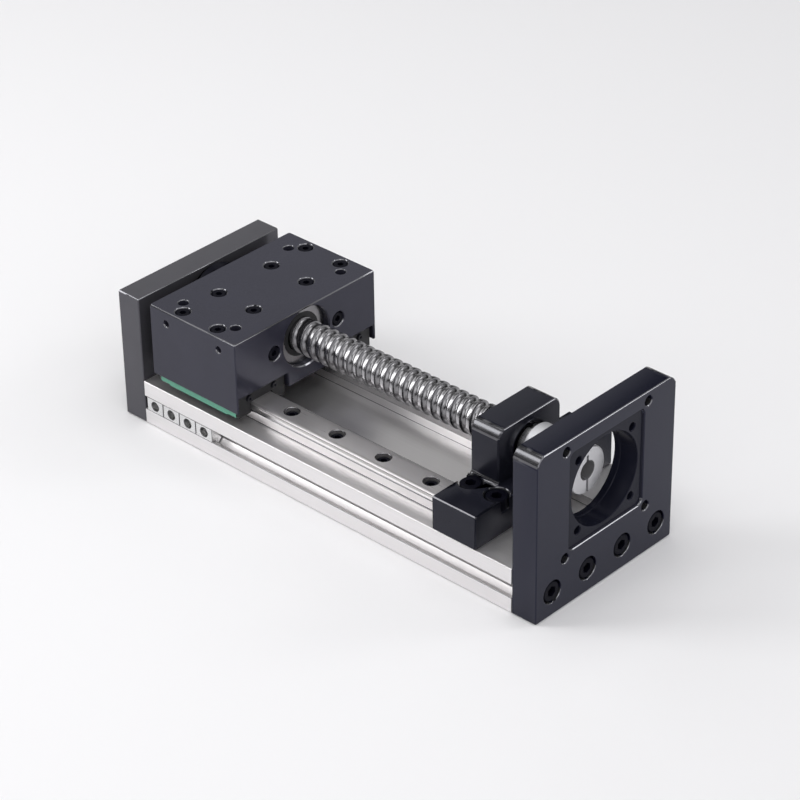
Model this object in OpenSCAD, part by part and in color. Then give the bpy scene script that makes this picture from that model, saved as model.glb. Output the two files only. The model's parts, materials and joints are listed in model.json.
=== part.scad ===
// Ball screw linear module: base profile, two rails, a carriage on a recirculating ball nut,
// a fixed and a floating bearing end, and a coupling behind a motor plate.
// X runs along the screw towards the motor plate, Z is up, and the origin is the middle of the underside.

/* [Base profile] */
// Length of the extruded base between the two plates
base_l = 200; // [185:5:400]
// Width of the base and of everything that is flush with its sides
base_w = 80; // [78:1:120]
// Height of the base
base_h = 20; // [18:0.5:30]
// Width of the shallow channel between the rails
channel_w = 31; // [20:1:34]
// Depth of the shallow channel
channel_d = 4; // [1:0.5:5]
// Height of the T-slot opening in each side
slot_open = 6.2; // [5:0.1:8]
// Thickness of the lips in front of the T-slot
slot_lip = 1.8; // [1:0.1:3]
// Height of the T-slot behind its lips
slot_inner = 10.4; // [9:0.1:13]
// Depth of the T-slot from the side face
slot_depth = 5.7; // [5.5:0.1:6.2]
// Height of the T-slot's centre above the underside
slot_z = 9.9; // [8:0.1:12]
// Chamfer on the sharp outer edges of milled and extruded parts
edge = 0.4; // [0.2:0.1:1]

/* [Plates] */
// Thickness of the end plate and of the motor plate
plate_t = 12; // [10:0.5:16]
// Height of the motor plate above the screw's axis
motor_over_axis = 28; // [26:0.5:40]
// Height of the end plate above the screw's axis
end_over_axis = 13; // [12.5:0.5:20]
// Radius of the motor plate's upper corners
plate_corner_r = 5; // [1:0.5:8]
// Diameter of the seat for the motor's pilot ring
pilot_d = 38.2; // [30:0.1:41]
// Depth of the pilot seat below the square recess
pilot_depth = 8; // [3:0.5:9]
// Diameter of the hole behind the pilot seat
pilot_back_d = 37.4; // [25:0.1:40]
// Side of the shallow square recess round the pilot hole
recess_w = 43; // [42:0.5:46]
// Depth of the square recess
recess_d = 1; // [0.5:0.1:2]
// Corner radius of the square recess
recess_r = 2.5; // [1:0.1:4]
// Hole spacing of the small motor pattern
motor_small_pitch = 31; // [31:0.5:32]
// Hole diameter of the small motor pattern
motor_small_d = 3.4; // [3:0.1:3.6]
// Hole spacing of the large motor pattern
motor_large_pitch = 47.14; // [47:0.01:49]
// Tapping hole diameter of the large motor pattern
motor_large_d = 4.2; // [3.3:0.1:5]
// Spacing of the four screws that hold each plate to the base
plate_screw_pitch = 20.4; // [19:0.1:22]
// Height of the plate screws above the underside
plate_screw_z = 10.5; // [9:0.1:12]

/* [Rails] */
// Distance from the base's side to the middle of a rail
rail_inset = 15; // [14.5:0.5:16]
// Width of a rail
rail_w = 12; // [12:0.1:12.2]
// Height of a rail
rail_h = 8; // [7.8:0.1:8.2]
// Chamfer along the rail's upper edges
rail_edge = 0.9; // [0.3:0.1:1]
// Spacing of the rail's screw holes
rail_pitch = 25; // [20:1:40]
// Distance from the rail's motor end to its last hole
rail_last_hole = 13.8; // [6:0.1:20]
// Gap between a rail's ends and the parts it points at
rail_end_gap = 0.2; // [0.1:0.1:2]
// Height of the ball track's centre above the rail's foot
track_z = 5.6; // [5:0.1:6]
// Distance of the ball track's centre outside the rail's side
track_out = 0.2; // [0.1:0.05:0.4]
// Diameter of the runner balls
runner_ball_d = 2.38; // [2:0.01:2.5]

/* [Runners] */
// Overall length of a runner with its end seals
runner_l = 45.4; // [40:0.1:46]
// Length of the runner's steel body
runner_steel_l = 32.4; // [28:0.1:34]
// Width of a runner
runner_w = 27; // [27:0.1:27.4]
// Height of the runner's top above the rail's foot
runner_h = 13; // [12.8:0.1:13.4]
// Height of the runner's underside above the rail's foot
runner_lift = 3; // [2.5:0.1:3.5]
// Thickness of an end seal
seal_t = 1; // [0.8:0.1:1.5]
// Spacing of the runner's screws, along and across
runner_hole_pitch = 20; // [19:0.5:21]
// Spacing of the small screws in an end seal
seal_screw_pitch = 14; // [13:0.5:16]
// Height of the seal screws above the rail's foot
seal_screw_z = 10.2; // [9.8:0.1:11]

/* [Carriage block] */
// Length of the block along the screw
block_l = 49; // [47:0.5:60]
// Thickness of the block above the runners
block_over_runner = 26; // [25.9:0.1:34]
// Height of the block's lower edge above the base
block_skirt_z = 6.5; // [6:0.1:8]
// Gap between the block and the end plate at the start of the stroke
block_rest_gap = 6.5; // [5:0.5:12]
// Spacing of the user's tapped holes along the screw
top_hole_x = 30; // [26:0.5:34]
// Spacing of the user's tapped holes across the screw
top_hole_y = 60; // [56:0.5:64]
// Tapping hole diameter of the user's holes
top_hole_d = 4.2; // [3.3:0.1:5]
// Depth of the user's holes
top_hole_depth = 12; // [6:0.5:16]
// Spacing of the two small tapped holes in each side
side_hole_x = 30; // [20:0.5:36]
// Depth of the side holes below the block's top
side_hole_down = 5.7; // [4:0.1:8]
// Diameter of the side holes
side_hole_d = 2.5; // [2:0.1:3]
// Length of the side holes
side_hole_depth = 5; // [3:0.5:6]

/* [Ball screw] */
// Height of the screw's axis above the base
axis_rise = 25.5; // [25.3:0.1:32]
// Outer diameter of the rolled thread
screw_d = 15; // [12:0.5:16]
// Lead of the thread
screw_lead = 5; // [4:0.5:6]
// Diameter of the balls in the nut
nut_ball_d = 3.175; // [2.4:0.005:3.3]
// Distance of the ball centres outside the thread's outer surface
ball_rise = 0.4; // [0.2:0.05:0.6]
// Play between a ball and the thread's groove
groove_play = 0.13; // [0.08:0.01:0.2]
// Diameter of the shoulder in front of the fixed bearings
shoulder_d = 12; // [11.5:0.1:12.4]
// Diameter of the journal in the fixed bearings
fixed_journal_d = 10; // [9:0.5:10]
// Diameter of the journal in the floating bearing and in the coupling
small_journal_d = 8; // [6:0.5:8]

/* [Ball nut] */
// Outer diameter of the nut
nut_d = 26; // [25:0.1:26.2]
// Thickness of the nut's flange behind the block
nut_flange_t = 4; // [3:0.5:5]
// Diameter of the flange's round middle
nut_flange_d = 27; // [26.5:0.1:27]
// Distance from the axis to each flange screw
nut_screw_y = 18.25; // [18.2:0.05:20]
// Radius of the flange's ears
nut_ear_r = 4.25; // [3.5:0.05:4.5]
// Depth of the nut's front face inside the block
nut_recess = 3; // [1:0.5:6]
// Play between the nut's bore and the thread
nut_bore_play = 0.2; // [0.1:0.05:0.3]
// Thickness of a wiper
wiper_t = 3; // [2:0.5:4]
// Number of ball circuits
circuits = 2; // [1:1:2]
// Turns in one ball circuit
circuit_turns = 2.5; // [1.5:0.5:2.5]

/* [Bearing block] */
// Length of the foot along the screw
foot_l = 22; // [21:0.5:30]
// Height of the foot
foot_h = 15; // [12.5:0.5:15.5]
// Gap between the foot and the motor plate
foot_gap = 18; // [17.5:0.5:24]
// Thickness of the upper housing
house_t = 14; // [13.5:0.1:14.2]
// Width of the upper housing
house_w = 36; // [30:0.5:36]
// Height of the housing above the axis
house_over_axis = 13; // [12:0.5:18]
// Radius of the housing's upper corners
house_corner_r = 4.5; // [1:0.5:6]
// Radius between the housing and the foot
house_fillet_r = 1.8; // [0.5:0.1:2]
// Spacing of the foot's screws along the screw
foot_screw_x = 13.2; // [12:0.1:13.5]
// Distance from the base's side to the foot's screws
foot_screw_inset = 17; // [13:0.5:17]
// Thickness of the shoulder behind the fixed bearings
house_back_t = 2.5; // [2:0.1:2.7]

/* [Bearings] */
// Outer diameter of each fixed bearing
fixed_od = 19; // [17:0.5:20]
// Width of each fixed bearing
fixed_bw = 5; // [4.6:0.1:5]
// Outer diameter of the floating bearing
float_od = 22; // [19:0.5:22]
// Width of the floating bearing
float_bw = 7; // [6:0.5:7]
// Thickness of both retaining rings
clip_t = 0.8; // [0.6:0.1:0.8]
// Outer diameter of the lock nut
lock_nut_d = 16; // [14:0.5:18]
// Thickness of the lock nut
lock_nut_t = 3; // [2.5:0.1:3]

/* [Coupling] */
// Outer diameter of the coupling
coupling_d = 20; // [19:0.5:24]
// Overall length of the coupling
coupling_l = 25; // [22:0.5:25]
// Length of each clamp hub without its jaws
hub_l = 10; // [8.5:0.5:10]
// Bore of the hub on the motor's side
motor_bore_d = 8; // [5:0.5:8]
// Width of the clamp slits
slit_w = 1; // [0.6:0.1:1.5]
// Width of a spider arm
spider_arm_w = 2.4; // [1.5:0.1:3]
// Distance from the axis to the clamp screws
clamp_screw_z = 5.9; // [5.9:0.1:6.5]

/* [T-nuts] */
// Number of T-nuts in the left slot
t_nut_count = 4; // [1:1:8]
// Length of a T-nut
t_nut_l = 9.3; // [8:0.1:9.5]
// Spacing of the T-nuts
t_nut_pitch = 9.6; // [9.6:0.1:12]
// Distance from the end plate to the first T-nut
t_nut_start = 1.35; // [0.5:0.05:5]
// Tapping hole diameter of a T-nut
t_nut_d = 4.2; // [3.3:0.1:4.4]
// Thickness of a T-nut behind the lips
t_nut_back = 3.5; // [3:0.1:3.5]

/* [Clearances] */
// Radial play of a ring, hub or nut on its shaft or in its seat
seat_gap = 0.02; // [0.01:0.01:0.05]
// Radial play that stands for a thread's form
thread_gap = 0.05; // [0.03:0.01:0.08]
// Free play round a moving or loosely held part
free_gap = 0.2; // [0.1:0.05:0.25]
// Play round each ball of a bearing or a runner
ball_gap = 0.06; // [0.05:0.01:0.1]

/* [Hidden] */
$fn = 64;

// Overlap of a cutting tool with the face it cuts through
over = 0.5;

// Screw sizes: [thread diameter, head diameter, head height, hexagon across flats]
M25 = [2.5, 4.5, 2.5, 2];
M3 = [3, 5.5, 3, 2.5];
M5 = [5, 8.5, 5, 4];
plate_screw_l = 18;
rail_screw_l = 10;
foot_screw_l = 16;
clamp_screw_l = 9;
m3_clear_d = 3.2;
m5_clear_d = 5.5;
m3_bore = [6.2, 3.4];
m5_bore = [9.6, 5.4];
rail_clear_d = 3.5;
rail_bore = [6, 4.5];
base_tap_depth = 8;

// Gap before a screw's end, above a runner's frame and beside a turning ring
end_clear = 0.3;

// Places along the screw
base_x0 = -base_l / 2;
base_x1 = base_l / 2;
end_x0 = base_x0 - plate_t;
motor_x1 = base_x1 + plate_t;
foot_x1 = base_x1 - foot_gap;
foot_x0 = foot_x1 - foot_l;
house_x1 = foot_x0 + house_t;
rail_x0 = base_x0 + rail_end_gap;
rail_x1 = foot_x0 - rail_end_gap;
block_x0 = base_x0 + block_rest_gap;
block_x1 = block_x0 + block_l;
block_x = (block_x0 + block_x1) / 2;

// Heights and sideways places
axis_z = base_h + axis_rise;
motor_plate_h = axis_z + motor_over_axis;
end_plate_h = axis_z + end_over_axis;
block_top = base_h + runner_h + block_over_runner;
block_bottom = base_h + block_skirt_z;
house_top = axis_z + house_over_axis;
foot_top = base_h + foot_h;
rail_y = base_w / 2 - rail_inset;
foot_screw_y = base_w / 2 - foot_screw_inset;
plate_screw_ys = [for (i = [-1.5:1:1.5]) i * plate_screw_pitch];
rail_hole_count = floor((rail_x1 - rail_last_hole - rail_x0 - rail_bore[0]) / rail_pitch) + 1;
rail_hole_xs = [for (i = [0:rail_hole_count - 1]) rail_x1 - rail_last_hole - i * rail_pitch];
track_r = runner_ball_d / 2 + ball_gap;
runner_tap_depth = 3.5;

// Runner details: plays, steps of the outline, ball return channel and small screws
runner_play = 0.3;
seal_play = 0.12;
seal_inset = 0.4;
retainer_gap = 0.5;
retainer_t = 1;
runner_step_h = 3.5;
runner_step_w = 2;
return_out = 3.3;
return_up = 1.2;
cap_cut = 0.6;
ball_spread = 0.14;
seal_screw_l = 4;
seal_screw_r = 0.95;
seal_head = [1.5, 0.9];
seal_head_edge = 0.2;
seal_key_r = 0.7;
seal_hole_l = 5;

// Ball screw and nut
thread_end_gap = 1;
thread_x0 = base_x0 + thread_end_gap;
thread_x1 = foot_x0 - thread_end_gap;
land_r = screw_d / 2;
path_r = land_r + ball_rise;
groove_r = nut_ball_d / 2 + groove_play;
groove_half = sqrt(groove_r * groove_r - ball_rise * ball_rise);
run_in = 1.2;
helix_x0 = thread_x0 + run_in;
helix_steps = 24;
groove_steps = 4;
helix_count = floor((thread_x1 - thread_x0 - 2 * run_in - screw_lead) / screw_lead * helix_steps);
nut_x0 = block_x0 - nut_flange_t;
nut_x1 = block_x1 - nut_recess;
nut_bore_r = land_r + nut_bore_play;
chamber_r = path_r + nut_ball_d / 2 + groove_play;
ball_step = ceil(2 * asin((nut_ball_d + free_gap / 2) / 2 / path_r));
circuit_gap_turns = 1;
circuit_pitch = circuit_turns + circuit_gap_turns;
circuit_total = circuits * circuit_turns + (circuits - 1) * circuit_gap_turns;
first_ball_x = (nut_x0 + nut_x1 - circuit_total * screw_lead) / 2;
first_turn = (first_ball_x - helix_x0 - groove_half) / screw_lead;
chamber_x0 = first_ball_x - nut_ball_d / 2 - groove_play;
chamber_l = circuit_total * screw_lead + nut_ball_d + 2 * groove_play;
wiper_r = land_r + 2;
deflector_r = 3;

// Bearings, retaining rings and lock nut
fixed_x0 = foot_x0 + house_back_t;
fixed_x1 = fixed_x0 + 2 * fixed_bw;
clip_groove = 0.6;
clip_width = 1.6;
spacer_x1 = house_x1 + end_clear;
lock_x1 = spacer_x1 + lock_nut_t;
float_x0 = base_x0 - float_bw;
clip_land = 0.8;
journal_x0 = float_x0 - clip_t - clip_land;
end_bore_depth = plate_t - 2;

// Coupling
coupling_x0 = lock_x1 + end_clear;
coupling_x1 = coupling_x0 + coupling_l;
coupling_r = coupling_d / 2;
hub_gap = coupling_l - 2 * hub_l;
jaw_play = 0.3;
hub_edge = 0.5;
slit_stop = 1.5;
slit_reach = 2.4;
spider_inset = 0.6;
spider_core_r = 4.4;
clamp_screw_x = hub_l / 2 - 0.6;
clamp_seat_y = 3.4;

// ---------- helpers ----------

module rod_x(x, l, r, y = 0, z = 0) {
    translate([x, y, z]) rotate([0, 90, 0]) cylinder(h = l, r = r);
}

module rod_y(y, l, r, x = 0, z = 0) {
    translate([x, y, z]) rotate([-90, 0, 0]) cylinder(h = l, r = r);
}

module rod_z(z, l, r, x = 0, y = 0) {
    translate([x, y, z]) cylinder(h = l, r = r);
}

// A flat (y, z) outline pushed along X from x over the length l
module slab_x(x, l) {
    translate([x, 0, 0]) rotate([90, 0, 90]) linear_extrude(l) children();
}

// A flat (radius, x) outline turned about an axis along X at the screw's height
module turned(x = 0) {
    translate([x, 0, axis_z]) rotate([0, 90, 0]) rotate_extrude() children();
}

// Rectangle with 45 degree corners, its lower left corner at the origin
module cut_rect(w, h, c) {
    polygon([[c, 0], [w - c, 0], [w, c], [w, h - c], [w - c, h], [c, h], [0, h - c], [0, c]]);
}

// Block with every edge chamfered, standing on z, centred on y = 0
module cut_block(x, l, w, z, h, c = edge) {
    translate([x, -w / 2, z]) intersection() {
        linear_extrude(h) cut_rect(l, w, c);
        rotate([90, 0, 90]) linear_extrude(l) cut_rect(w, h, c);
        translate([0, w, 0]) rotate([90, 0, 0]) linear_extrude(w) cut_rect(l, h, c);
    }
}

// Rectangle centred on the origin with round corners
module round_rect(w, h, r) {
    square([w - 2 * r, h], center = true);
    square([w, h - 2 * r], center = true);
    for (sx = [-1, 1], sy = [-1, 1]) translate([sx * (w / 2 - r), sy * (h / 2 - r)]) circle(r);
}

// Rectangle centred on y = 0, standing on the axis, with its two upper corners round
module round_top(w, h, r) {
    translate([-w / 2, 0]) square([w, h - r]);
    translate([-w / 2 + r, 0]) square([w - 2 * r, h]);
    for (s = [-1, 1]) translate([s * (w / 2 - r), h - r]) circle(r);
}

// Socket head screw pointing down, the underside of its head at the origin
module socket_screw(size, l) {
    d = size[0];
    head_r = size[1] / 2;
    head_h = size[2];
    key_r = size[3] / 2 / cos(30);
    rim = head_r / 12;
    difference() {
        union() {
            translate([0, 0, -l]) cylinder(h = l + head_h / 2, r = d / 2);
            cylinder(h = head_h - rim, r = head_r);
            translate([0, 0, head_h - rim]) cylinder(h = rim, r1 = head_r, r2 = head_r - rim);
        }
        translate([0, 0, head_h / 2]) cylinder(h = head_h, r = key_r, $fn = 6);
    }
}

// Hole and counterbore for a screw that points down from the height z
module screw_hole(z, through, clear_d, bore, x, y) {
    rod_z(z - through - over, through + 2 * over, clear_d / 2, x, y);
    rod_z(z - bore[1], bore[1] + over, bore[0] / 2, x, y);
}

// ---------- base ----------

// One T-slot, opening towards -Y at y = 0 and centred on z = 0
module slot_outline() {
    back_cut = 2;
    inner = slot_inner / 2;
    translate([-over, -slot_open / 2]) square([slot_lip + 2 * over, slot_open]);
    polygon([
        [slot_lip, -inner], [slot_depth - back_cut, -inner], [slot_depth, -inner + back_cut],
        [slot_depth, inner - back_cut], [slot_depth - back_cut, inner], [slot_lip, inner]
    ]);
}

module base_profile() {
    color("silver") difference() {
        slab_x(base_x0, base_l) difference() {
            translate([-base_w / 2, 0]) cut_rect(base_w, base_h, edge);
            translate([-channel_w / 2, base_h - channel_d]) square([channel_w, channel_d + over]);
            for (s = [0, 1]) mirror([s, 0]) translate([-base_w / 2, slot_z]) slot_outline();
            for (y = plate_screw_ys) translate([y, plate_screw_z]) circle(M5[0] / 2 + thread_gap);
        }
        for (x = rail_hole_xs, s = [-1, 1])
            rod_z(base_h - base_tap_depth, base_tap_depth + over, M3[0] / 2 + thread_gap, x, s * rail_y);
        at_foot_screws() rod_z(base_h - base_tap_depth, base_tap_depth + over, M5[0] / 2 + thread_gap);
    }
}

// ---------- plates ----------

module plate_screw_bores(outer_x, way) {
    for (y = plate_screw_ys) {
        rod_x(min(outer_x, outer_x - way * plate_t) - over, plate_t + 2 * over, m5_clear_d / 2,
            y, plate_screw_z);
        rod_x(outer_x - (way > 0 ? m5_bore[1] : over), m5_bore[1] + over, m5_bore[0] / 2,
            y, plate_screw_z);
    }
}

module end_plate() {
    color("#16171a") difference() {
        cut_block(end_x0, plate_t, base_w, 0, end_plate_h);
        plate_screw_bores(end_x0, -1);
        rod_x(float_x0, float_bw + over, float_od / 2 + seat_gap, 0, axis_z);
        rod_x(base_x0 - end_bore_depth, end_bore_depth, float_od / 2 - 2, 0, axis_z);
    }
}

module motor_plate() {
    small = motor_small_pitch / 2;
    large = motor_large_pitch / 2;
    color("#16171a") difference() {
        intersection() {
            slab_x(base_x1, plate_t) round_top(base_w, motor_plate_h, plate_corner_r);
            cut_block(base_x1, plate_t, base_w, 0, motor_plate_h);
        }
        plate_screw_bores(motor_x1, 1);
        rod_x(base_x1 - over, plate_t + 2 * over, pilot_back_d / 2, 0, axis_z);
        rod_x(motor_x1 - recess_d - pilot_depth, pilot_depth + over, pilot_d / 2, 0, axis_z);
        slab_x(motor_x1 - recess_d, recess_d + over) translate([0, axis_z])
            round_rect(recess_w, recess_w, recess_r);
        for (sy = [-1, 1], sz = [-1, 1]) {
            rod_x(base_x1 - over, plate_t + 2 * over, motor_small_d / 2, sy * small, axis_z + sz * small);
            rod_x(base_x1 - over, plate_t + 2 * over, motor_large_d / 2, sy * large, axis_z + sz * large);
        }
    }
}

module plate_screws(outer_x, way) {
    color("#202226") for (y = plate_screw_ys)
        translate([outer_x - way * m5_bore[1], y, plate_screw_z]) rotate([0, way * 90, 0])
            socket_screw(M5, plate_screw_l);
}

module end_plate_screws() {
    plate_screws(end_x0, -1);
}

module motor_plate_screws() {
    plate_screws(motor_x1, 1);
}

// ---------- rails ----------

module rail(y) {
    color("#c9cbcd") difference() {
        slab_x(rail_x0, rail_x1 - rail_x0) translate([y, base_h]) difference() {
            polygon([
                [-rail_w / 2, 0], [rail_w / 2, 0],
                [rail_w / 2, rail_h - rail_edge], [rail_w / 2 - rail_edge, rail_h],
                [rail_edge - rail_w / 2, rail_h], [-rail_w / 2, rail_h - rail_edge]
            ]);
            for (s = [-1, 1]) translate([s * (rail_w / 2 + track_out), track_z]) circle(track_r);
        }
        for (x = rail_hole_xs) screw_hole(base_h + rail_h, rail_h, rail_clear_d, rail_bore, x, y);
    }
}

module left_rail() {
    rail(-rail_y);
}

module right_rail() {
    rail(rail_y);
}

module rail_screws() {
    color("#303236") for (x = rail_hole_xs, s = [-1, 1])
        translate([x, s * rail_y, base_h + rail_h - rail_bore[1]]) socket_screw(M3, rail_screw_l);
}

// ---------- bearing block ----------

module at_foot_screws() {
    for (sx = [-1, 1], sy = [-1, 1])
        translate([(foot_x0 + foot_x1) / 2 + sx * foot_screw_x / 2, sy * foot_screw_y, 0]) children();
}

module house_outline() {
    r = house_fillet_r;
    translate([0, foot_top - 1]) round_top(house_w, house_top - foot_top + 1, house_corner_r);
    for (s = [-1, 1]) translate([s * house_w / 2, foot_top]) difference() {
        translate([s > 0 ? -1 : -r, -1]) square([r + 1, r + 1]);
        translate([s * r, r]) circle(r);
    }
}

module bearing_block() {
    bore_r = fixed_od / 2 + seat_gap;
    color("#16171a") difference() {
        union() {
            cut_block(foot_x0, foot_l, base_w, base_h, foot_h);
            intersection() {
                slab_x(foot_x0, house_t) house_outline();
                cut_block(foot_x0, house_t, base_w, base_h, house_top - base_h);
            }
        }
        at_foot_screws() screw_hole(foot_top, foot_h, m5_clear_d, m5_bore, 0, 0);
        rod_x(fixed_x0, house_t, bore_r, 0, axis_z);
        rod_x(foot_x0 - over, house_t, shoulder_d / 2 + 1, 0, axis_z);
        rod_x(fixed_x1, clip_t + thread_gap, bore_r + clip_groove, 0, axis_z);
    }
}

module bearing_block_screws() {
    color("#202226") at_foot_screws() translate([0, 0, foot_top - m5_bore[1]]) socket_screw(M5, foot_screw_l);
}

// Outline of a bearing ring between two radii with a ball track at its middle
module ring_outline(r0, r1, w, track, ball_r) {
    difference() {
        translate([r0, 0]) square([r1 - r0, w]);
        translate([track, w / 2]) circle(ball_r + ball_gap);
    }
}

// Shares of a bearing's wall that a ring and a ball's radius take, and balls' spacing in radii
ring_share = 0.3;
ball_share = 0.27;
ball_pitch = 2.3;

// Radii of a bearing: [bore, inner ring's outside, ball path, outer ring's inside, outside, ball]
function bearing_radii(bore_r, outer_r) =
    let (wall = (outer_r - bore_r) * ring_share, path = (bore_r + outer_r) / 2)
    [bore_r, bore_r + wall, path, outer_r - wall, outer_r, (outer_r - bore_r) * ball_share];
fixed_radii = bearing_radii(fixed_journal_d / 2 + seat_gap, fixed_od / 2);
float_radii = bearing_radii(small_journal_d / 2 + seat_gap, float_od / 2);

module bearing_outer(x, w, radii) {
    color("#d4d6d8") turned(x) ring_outline(radii[3], radii[4], w, radii[2], radii[5]);
}

module bearing_inner(x, w, radii) {
    color("#d4d6d8") turned(x) ring_outline(radii[0], radii[1], w, radii[2], radii[5]);
}

module bearing_balls(x, w, radii) {
    count = floor(2 * PI * radii[2] / (ball_pitch * radii[5]));
    color("#e6e7e8") for (i = [0:count - 1]) translate([x + w / 2, 0, axis_z])
        rotate([i * 360 / count, 0, 0]) translate([0, radii[2], 0]) sphere(radii[5]);
}

module fixed_bearing_outer_rings() {
    for (i = [0, 1]) bearing_outer(fixed_x0 + i * fixed_bw, fixed_bw, fixed_radii);
}

module fixed_bearing_inner_rings() {
    for (i = [0, 1]) bearing_inner(fixed_x0 + i * fixed_bw, fixed_bw, fixed_radii);
}

module fixed_bearing_balls() {
    for (i = [0, 1]) bearing_balls(fixed_x0 + i * fixed_bw, fixed_bw, fixed_radii);
}

module floating_bearing_outer_ring() {
    bearing_outer(float_x0, float_bw, float_radii);
}

module floating_bearing_inner_ring() {
    bearing_inner(float_x0, float_bw, float_radii);
}

module floating_bearing_balls() {
    bearing_balls(float_x0, float_bw, float_radii);
}

// Open retaining ring between two radii
module circlip(x, r0, r1) {
    gap = 3;
    color("#5a5c60") translate([0, 0, axis_z]) slab_x(x, clip_t) difference() {
        circle(r1);
        circle(r0);
        translate([-gap / 2, 0]) square([gap, r1 + over]);
    }
}

module housing_circlip() {
    r = fixed_od / 2 + clip_groove - seat_gap;
    circlip(fixed_x1, r - clip_width, r);
}

module journal_circlip() {
    r = small_journal_d / 2 - clip_groove / 2 + seat_gap;
    circlip(float_x0 - clip_t, r, r + clip_width);
}

module spacer_ring() {
    color("#b4b6b8") turned(fixed_x1)
        translate([fixed_radii[0], 0]) square([fixed_radii[1] - fixed_radii[0], spacer_x1 - fixed_x1]);
}

module lock_nut() {
    slot_w = 2.6;
    slot_d = 1.2;
    color("#8c8f93") difference() {
        rod_x(spacer_x1, lock_nut_t, lock_nut_d / 2, 0, axis_z);
        rod_x(spacer_x1 - over, lock_nut_t + 2 * over, fixed_journal_d / 2 + thread_gap, 0, axis_z);
        for (a = [0:90:270]) translate([spacer_x1 - over, 0, axis_z]) rotate([a, 0, 0])
            translate([0, -slot_w / 2, lock_nut_d / 2 - slot_d]) cube([lock_nut_t + 2 * over, slot_w, 5]);
    }
}

// ---------- carriage ----------

module at_runner_holes() {
    half = runner_hole_pitch / 2;
    for (sy = [-1, 1], dx = [-half, half], dy = [-half, half])
        translate([block_x + dx, sy * rail_y + dy, 0]) children();
}

module carriage_block() {
    channel = runner_w / 2 + free_gap;
    color("#16171a") difference() {
        cut_block(block_x0, block_l, base_w, block_bottom, block_top - block_bottom);
        for (s = [-1, 1]) translate([block_x0 - over, s * rail_y - channel, 0])
            cube([block_l + 2 * over, 2 * channel, base_h + runner_h]);
        rod_x(block_x0 - over, block_l + 2 * over, nut_d / 2 + seat_gap, 0, axis_z);
        for (s = [-1, 1]) {
            rod_x(block_x0 - over, block_l + 2 * over, m3_clear_d / 2, s * nut_screw_y, axis_z);
            rod_x(block_x1 - m3_bore[1], m3_bore[1] + over, m3_bore[0] / 2, s * nut_screw_y, axis_z);
            for (dx = [-1, 1])
                rod_y(s > 0 ? base_w / 2 - side_hole_depth : -base_w / 2 - over, side_hole_depth + over,
                    side_hole_d / 2, block_x + dx * side_hole_x / 2, block_top - side_hole_down);
        }
        at_runner_holes() screw_hole(block_top, block_over_runner, m3_clear_d, m3_bore, 0, 0);
        for (sx = [-1, 1], sy = [-1, 1]) translate([block_x + sx * top_hole_x / 2, sy * top_hole_y / 2, 0]) {
            rod_z(block_top - top_hole_depth, top_hole_depth + over, top_hole_d / 2);
            translate([0, 0, block_top - edge]) cylinder(h = 2 * edge, r1 = top_hole_d / 2,
                r2 = top_hole_d / 2 + 2 * edge);
        }
    }
}

module carriage_screws() {
    shank = block_over_runner - m3_bore[1] + runner_tap_depth - end_clear;
    color("#202226") at_runner_holes() translate([0, 0, block_top - m3_bore[1]]) socket_screw(M3, shank);
}

// Free space round the rail inside a runner
module rail_passage(play) {
    translate([-rail_w / 2 - play, -over]) square([rail_w + 2 * play, rail_h + play + over]);
}

module runner_body(y) {
    foot_z = runner_lift + retainer_t;
    step_z = runner_lift + runner_step_h;
    step_w = runner_w - 2 * runner_step_w;
    tap_z = base_h + runner_h - runner_tap_depth;
    color("#c4c6c8") difference() {
        slab_x(block_x - runner_steel_l / 2, runner_steel_l) translate([y, base_h]) difference() {
            union() {
                translate([-runner_w / 2, step_z]) square([runner_w, runner_h - step_z]);
                translate([-step_w / 2, foot_z]) square([step_w, step_z - foot_z + over]);
            }
            rail_passage(runner_play);
            for (s = [-1, 1]) {
                translate([s * (rail_w / 2 + track_out), track_z]) circle(track_r);
                translate([s * (rail_w / 2 + return_out), track_z + return_up]) circle(track_r);
            }
        }
        for (dx = [-1, 1], dy = [-1, 1])
            rod_z(tap_z, runner_tap_depth + over, M3[0] / 2 + thread_gap,
                block_x + dx * runner_hole_pitch / 2, y + dy * runner_hole_pitch / 2);
    }
}

module left_runner_body() {
    runner_body(-rail_y);
}

module right_runner_body() {
    runner_body(rail_y);
}

// Plastic frame: an end cap at each end, joined by the retainers below the steel body
module runner_frame(y) {
    cap_l = (runner_l - runner_steel_l) / 2 - seal_t;
    foot_z = runner_lift + retainer_t;
    step_z = runner_lift + runner_step_h;
    color("#1f8f5f") difference() {
        union() {
            for (s = [-1, 1]) slab_x(block_x + s * (runner_steel_l + cap_l) / 2 - cap_l / 2, cap_l)
                translate([y - runner_w / 2, base_h + runner_lift])
                    cut_rect(runner_w, runner_h - runner_lift - end_clear, cap_cut);
            slab_x(block_x - runner_steel_l / 2 - over, runner_steel_l + 2 * over) translate([y, base_h])
                for (s = [0, 1]) mirror([s, 0]) {
                    translate([rail_w / 2 + retainer_gap, runner_lift])
                        square([(runner_w - rail_w) / 2 - retainer_gap, foot_z - runner_lift]);
                    translate([runner_w / 2 - runner_step_w, runner_lift])
                        square([runner_step_w, step_z - runner_lift]);
                }
        }
        slab_x(block_x - runner_l, 2 * runner_l) translate([y, base_h]) rail_passage(runner_play);
        at_seal_screws(y) rotate([0, -90, 0]) cylinder(h = seal_hole_l, r = seal_screw_r + thread_gap);
    }
}

module left_runner_frame() {
    runner_frame(-rail_y);
}

module right_runner_frame() {
    runner_frame(rail_y);
}

// Children point outwards along +X from the outer face of each end seal
module at_seal_screws(y) {
    for (s = [0, 1], dy = [-1, 1]) translate([block_x, y + dy * seal_screw_pitch / 2, base_h + seal_screw_z])
        mirror([s, 0, 0]) translate([runner_l / 2, 0, 0]) children();
}

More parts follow.
